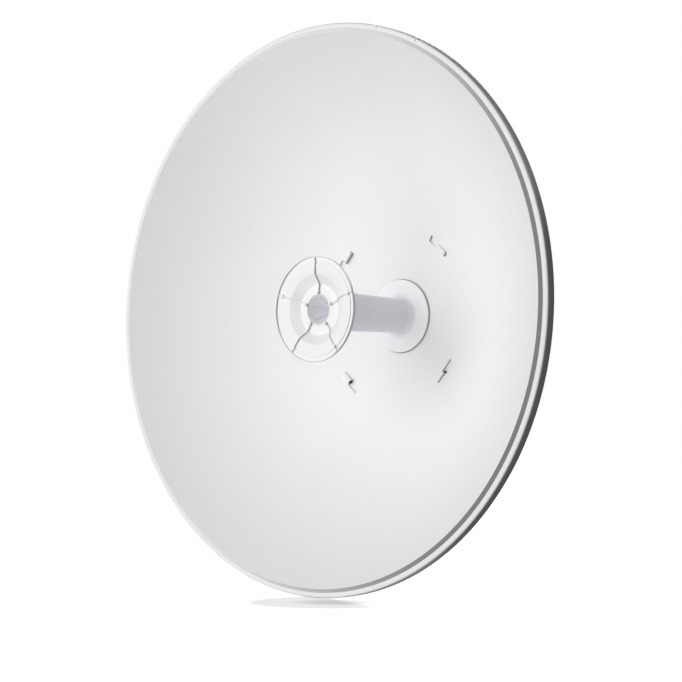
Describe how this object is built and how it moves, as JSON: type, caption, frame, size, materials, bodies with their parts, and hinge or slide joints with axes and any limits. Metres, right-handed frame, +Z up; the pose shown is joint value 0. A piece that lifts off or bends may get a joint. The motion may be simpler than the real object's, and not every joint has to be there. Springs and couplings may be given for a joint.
{
  "type": "dish antenna",
  "caption": "Round white parabolic dish with a central cup-ended feed tube and, behind it, a tilting bracket that clamps to a pole.",
  "frame": {"origin": "centre of the flat back face of the pole bracket, where the pole is pressed", "axes": "+Y out of that face towards the pole, -Y along the dish's aim, +Z up the pole, +X to the right seen from in front of the dish"},
  "size_m": [0.65, 0.381, 0.65],
  "materials": {
    "white_paint": "white powder coat, satin",
    "mount_paint": "white powder coat over steel, satin",
    "cup_plastic": "white moulded plastic, satin",
    "tube_plastic": "pale lavender-gray moulded plastic, satin",
    "housing_plastic": "off-white moulded plastic, satin",
    "gasket_rubber": "soft gray gasket, matt",
    "port_brass": "gold-toned plating, bright",
    "zinc": "zinc plated, satin"
  },
  "bodies": {
    "root": {"reflector": "white_paint", "hub_plate": "mount_paint", "tilt_bracket": "mount_paint", "pole_bracket": "mount_paint", "feed_cup": "cup_plastic", "feed_tube": "tube_plastic", "feed_flange": "tube_plastic", "feed_throat": "tube_plastic", "feed_housing": "housing_plastic", "feed_gasket": "gasket_rubber", "rf_port_1": "port_brass", "rf_port_2": "port_brass", "clamp_upper": "zinc", "clamp_lower": "zinc", "feed_screw_1": "zinc", "feed_screw_2": "zinc", "feed_screw_3": "zinc", "feed_screw_4": "zinc", "hub_bolt_1": "zinc", "hub_bolt_2": "zinc", "hub_bolt_3": "zinc", "hub_bolt_4": "zinc", "hub_nut_1": "zinc", "hub_nut_2": "zinc", "hub_nut_3": "zinc", "hub_nut_4": "zinc", "clamp_bolt_1": "zinc", "clamp_bolt_2": "zinc", "clamp_bolt_3": "zinc", "clamp_bolt_4": "zinc", "clamp_nut_1": "zinc", "clamp_nut_2": "zinc", "clamp_nut_3": "zinc", "clamp_nut_4": "zinc", "pivot_bolt_left": "zinc", "pivot_bolt_right": "zinc", "pivot_nut_left": "zinc", "pivot_nut_right": "zinc", "lock_bolt_left": "zinc", "lock_bolt_right": "zinc", "lock_nut_left": "zinc", "lock_nut_right": "zinc"}
  },
  "joints": []
}
